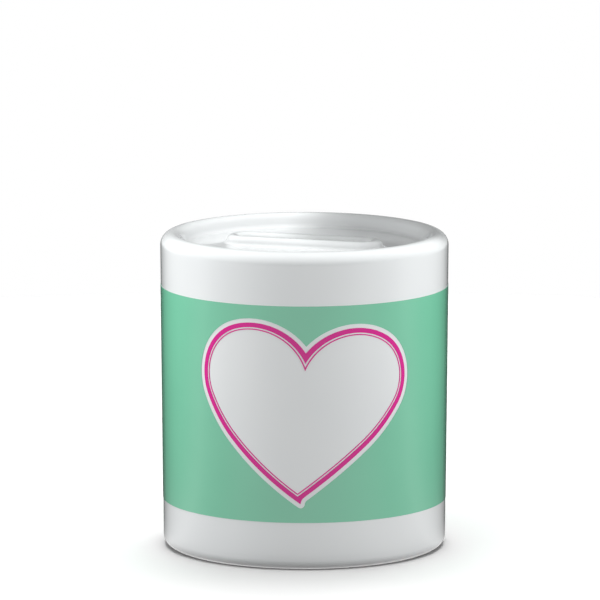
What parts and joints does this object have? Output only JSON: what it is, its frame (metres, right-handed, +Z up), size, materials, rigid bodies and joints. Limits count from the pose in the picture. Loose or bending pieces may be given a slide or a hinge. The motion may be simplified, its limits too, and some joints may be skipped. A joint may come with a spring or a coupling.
{
  "type": "coin bank jar",
  "caption": "Round glazed ceramic money box with a recessed top, a raised coin slot, a heart print round the wall and a pull-out stopper in the base.",
  "frame": {"origin": "centre of the foot ring, on the plane the jar stands on", "axes": "+Z up along the jar's axis, +X along the coin slot; the printed heart faces the direction 18 degrees round from -Y towards +X"},
  "size_m": [0.0828, 0.0828, 0.0909],
  "materials": {
    "white_glaze": "gloss",
    "green_print": "gloss",
    "pink_print": "gloss",
    "stopper_rubber": "satin"
  },
  "bodies": {
    "jar": {"jar_body": "white_glaze", "print_band": "green_print", "print_heart_outline": "pink_print", "print_heart_keyline": "pink_print"},
    "stopper": {"base_stopper": "stopper_rubber"}
  },
  "joints": [
    {"name": "stopper_pull", "type": "slide", "parent": "jar", "child": "stopper", "axis": [0, 0, -1], "range_m": [0, 0.03]}
  ]
}
